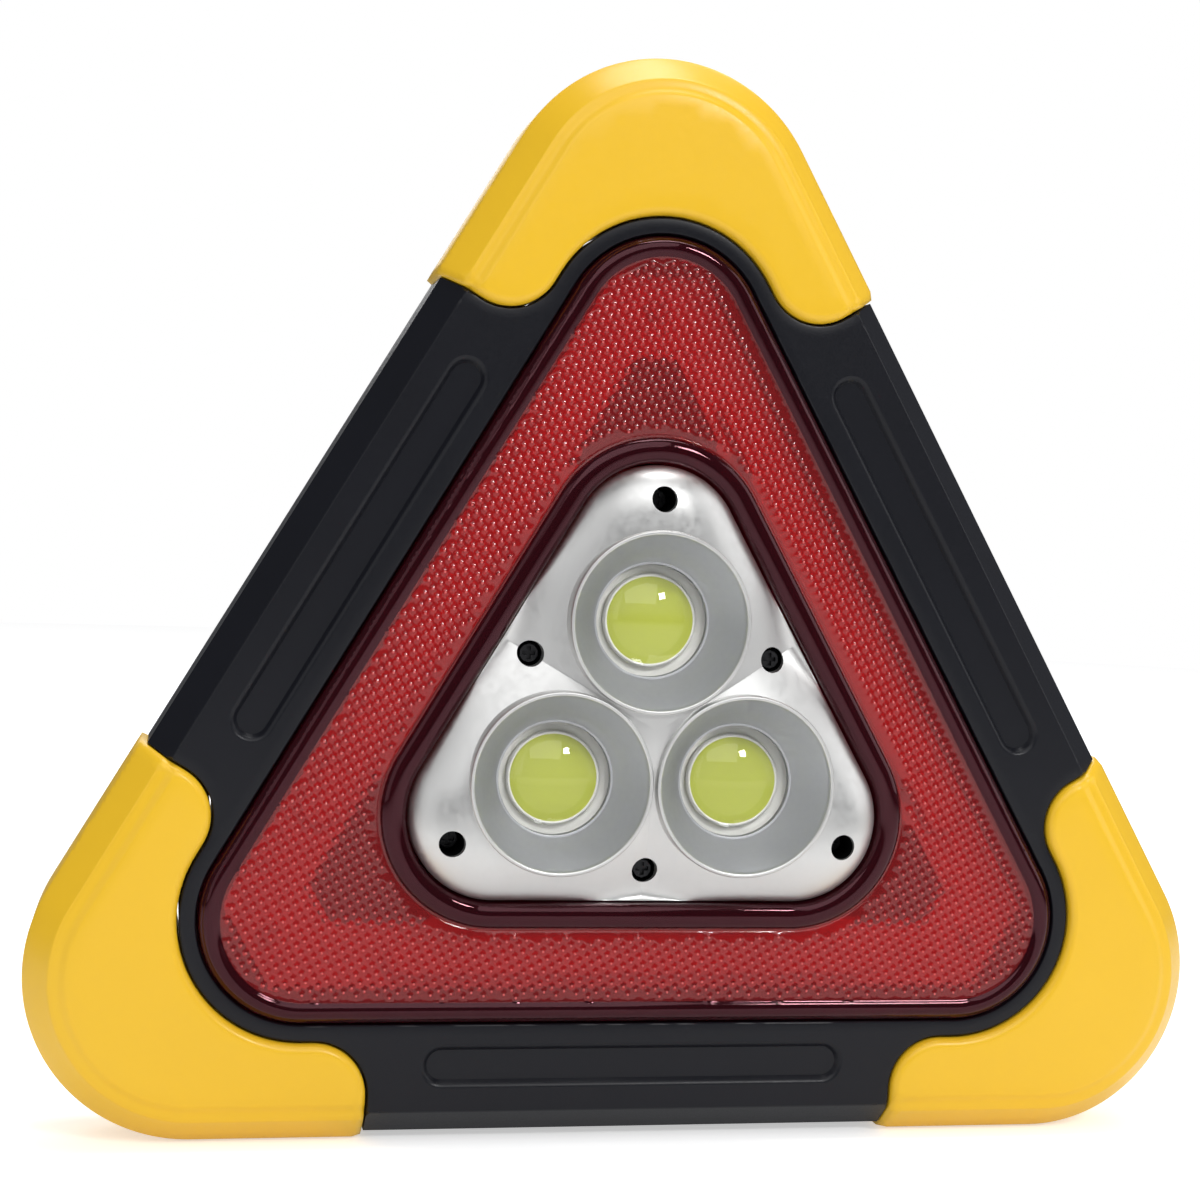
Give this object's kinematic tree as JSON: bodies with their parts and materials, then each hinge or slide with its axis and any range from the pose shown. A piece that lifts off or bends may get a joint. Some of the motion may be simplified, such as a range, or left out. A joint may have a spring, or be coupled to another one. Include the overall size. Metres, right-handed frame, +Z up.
{
  "type": "led warning triangle",
  "caption": "Battery LED warning triangle: red lens ring round a lamp reflector, yellow corner bumpers, rear push button, and a swing-out stand that doubles as the handle.",
  "frame": {"origin": "centre of the footprint of the whole object, on the plane of the bottom bumpers' undersides", "axes": "+Z up through the top corner, +X to the right seen from the front, the lamps and the red lens face -Y, the stand and battery cover are at +Y"},
  "size_m": [0.2, 0.04, 0.1805],
  "materials": {
    "black_plastic": "satin moulded ABS with a fine grain",
    "yellow_plastic": "satin yellow moulded plastic",
    "red_lens_plastic": "clear red plastic, moulded with rows of fine studs",
    "gasket_foam": "closed-cell foam",
    "silvered_plastic": "satin vacuum-metallised plastic",
    "clear_plastic": "polished clear lens",
    "phosphor": "yellow-green phosphor gel over the chips",
    "white_board": "white solder mask",
    "white_nylon": "white nylon screws",
    "green_board": "green solder mask",
    "red_silicone": "silicone bead over the warning chips",
    "black_rubber": "soft moulded rubber",
    "bright_steel": "nickel-plated steel",
    "black_steel": "black oxide",
    "cell_jacket": "printed-film jacket, plain",
    "red_wire": "PVC insulation",
    "black_wire": "PVC insulation"
  },
  "bodies": {
    "case": {"front_bezel": "black_plastic", "rear_housing": "black_plastic", "corner_bumper_top": "yellow_plastic", "corner_bumper_left": "yellow_plastic", "corner_bumper_right": "yellow_plastic", "red_lens": "red_lens_plastic", "lens_gasket": "gasket_foam", "reflector": "silvered_plastic", "lamp_board": "white_board", "lamp_lens_top": "clear_plastic", "lamp_lens_left": "clear_plastic", "lamp_lens_right": "clear_plastic", "led_chip_top": "phosphor", "led_chip_left": "phosphor", "led_chip_right": "phosphor", "warning_board": "white_board", "warning_strip_bottom": "red_silicone", "warning_strip_right": "red_silicone", "warning_strip_left": "red_silicone", "control_board": "green_board", "tact_switch": "black_plastic", "battery_1": "cell_jacket", "battery_2": "cell_jacket", "battery_3": "cell_jacket", "contact_spring_1": "bright_steel", "contact_spring_2": "bright_steel", "contact_spring_3": "bright_steel", "contact_plate_1": "bright_steel", "contact_plate_2": "bright_steel", "contact_plate_3": "bright_steel", "pivot_screw_right": "bright_steel", "pivot_screw_left": "bright_steel", "pivot_washer_right": "bright_steel", "pivot_washer_left": "bright_steel", "case_screw_1": "black_steel", "case_screw_2": "black_steel", "case_screw_3": "black_steel", "case_screw_4": "black_steel", "case_screw_5": "black_steel", "case_screw_6": "black_steel", "reflector_screw_1": "black_steel", "reflector_screw_2": "black_steel", "reflector_screw_3": "black_steel", "reflector_screw_4": "black_steel", "reflector_screw_5": "black_steel", "reflector_screw_6": "black_steel", "warning_board_screw_top": "white_nylon", "warning_board_screw_left": "white_nylon", "warning_board_screw_right": "white_nylon", "control_board_screw_left": "bright_steel", "control_board_screw_right": "bright_steel", "battery_lead_positive": "red_wire", "battery_lead_negative": "black_wire", "lamp_lead": "red_wire", "warning_lead": "black_wire"},
    "stand": {"stand": "black_plastic"},
    "button": {"power_button": "black_rubber"},
    "cover": {"battery_cover": "black_plastic"}
  },
  "joints": [
    {"name": "stand_hinge", "type": "hinge", "parent": "case", "child": "stand", "pos_m": [0, 0.0145, 0.1111], "axis": [1, 0, 0], "range_deg": [0, 180]},
    {"name": "button_press", "type": "slide", "parent": "case", "child": "button", "axis": [0, -1, 0], "range_m": [0, 0.0015], "stiffness_N_per_m": 800},
    {"name": "cover_hinge", "type": "hinge", "parent": "case", "child": "cover", "pos_m": [0, 0.02, 0.0431], "axis": [-1, 0, 0], "range_deg": [0, 75]}
  ]
}
